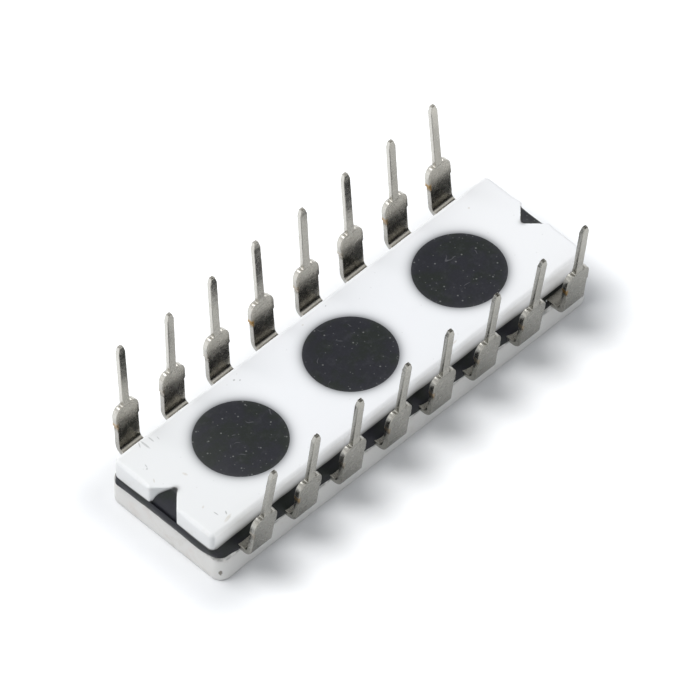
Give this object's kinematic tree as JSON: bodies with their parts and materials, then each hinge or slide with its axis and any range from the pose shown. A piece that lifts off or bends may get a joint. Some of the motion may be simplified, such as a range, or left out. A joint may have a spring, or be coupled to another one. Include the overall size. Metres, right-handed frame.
{
  "type": "resistor network",
  "caption": "Thick-film resistor network in a white ceramic sandwich package: two rows of shouldered pins, black epoxy seam and round epoxy windows in the cover plate.",
  "frame": {"origin": "the middle of the flat marked face, on which the package lies with its pins up", "axes": "+X along the package away from the end with the open index notch, +Y towards the row of leads 1 to 8, +Z along the pins"},
  "size_m": [0.0212, 0.009, 0.0073],
  "materials": {
    "white_alumina": "white fired alumina, faintly warm at the sides",
    "cover_alumina": "white fired alumina, satin, with fine handling marks",
    "black_epoxy": "filled black epoxy, satin, with pale specks of filler",
    "tinned_lead_metal": "tinned lead-frame strip, satin, with bare metal at the sheared edges",
    "silver_conductor_pad": "fired silver-palladium print",
    "solder": "bright solder",
    "ruthenium_resistor_film": "dark fired resistor ink under the epoxy"
  },
  "bodies": {
    "root": {"substrate": "white_alumina", "cover_plate": "cover_alumina", "epoxy_fill": "black_epoxy", "lead_01": "tinned_lead_metal", "lead_02": "tinned_lead_metal", "lead_03": "tinned_lead_metal", "lead_04": "tinned_lead_metal", "lead_05": "tinned_lead_metal", "lead_06": "tinned_lead_metal", "lead_07": "tinned_lead_metal", "lead_08": "tinned_lead_metal", "lead_09": "tinned_lead_metal", "lead_10": "tinned_lead_metal", "lead_11": "tinned_lead_metal", "lead_12": "tinned_lead_metal", "lead_13": "tinned_lead_metal", "lead_14": "tinned_lead_metal", "lead_15": "tinned_lead_metal", "lead_16": "tinned_lead_metal", "conductor_pad_01": "silver_conductor_pad", "conductor_pad_02": "silver_conductor_pad", "conductor_pad_03": "silver_conductor_pad", "conductor_pad_04": "silver_conductor_pad", "conductor_pad_05": "silver_conductor_pad", "conductor_pad_06": "silver_conductor_pad", "conductor_pad_07": "silver_conductor_pad", "conductor_pad_08": "silver_conductor_pad", "conductor_pad_09": "silver_conductor_pad", "conductor_pad_10": "silver_conductor_pad", "conductor_pad_11": "silver_conductor_pad", "conductor_pad_12": "silver_conductor_pad", "conductor_pad_13": "silver_conductor_pad", "conductor_pad_14": "silver_conductor_pad", "conductor_pad_15": "silver_conductor_pad", "conductor_pad_16": "silver_conductor_pad", "solder_joint_01": "solder", "solder_joint_02": "solder", "solder_joint_03": "solder", "solder_joint_04": "solder", "solder_joint_05": "solder", "solder_joint_06": "solder", "solder_joint_07": "solder", "solder_joint_08": "solder", "solder_joint_09": "solder", "solder_joint_10": "solder", "solder_joint_11": "solder", "solder_joint_12": "solder", "solder_joint_13": "solder", "solder_joint_14": "solder", "solder_joint_15": "solder", "solder_joint_16": "solder", "resistor_film_1": "ruthenium_resistor_film", "resistor_film_2": "ruthenium_resistor_film", "resistor_film_3": "ruthenium_resistor_film", "resistor_film_4": "ruthenium_resistor_film", "resistor_film_5": "ruthenium_resistor_film", "resistor_film_6": "ruthenium_resistor_film", "resistor_film_7": "ruthenium_resistor_film", "resistor_film_8": "ruthenium_resistor_film"}
  },
  "joints": []
}
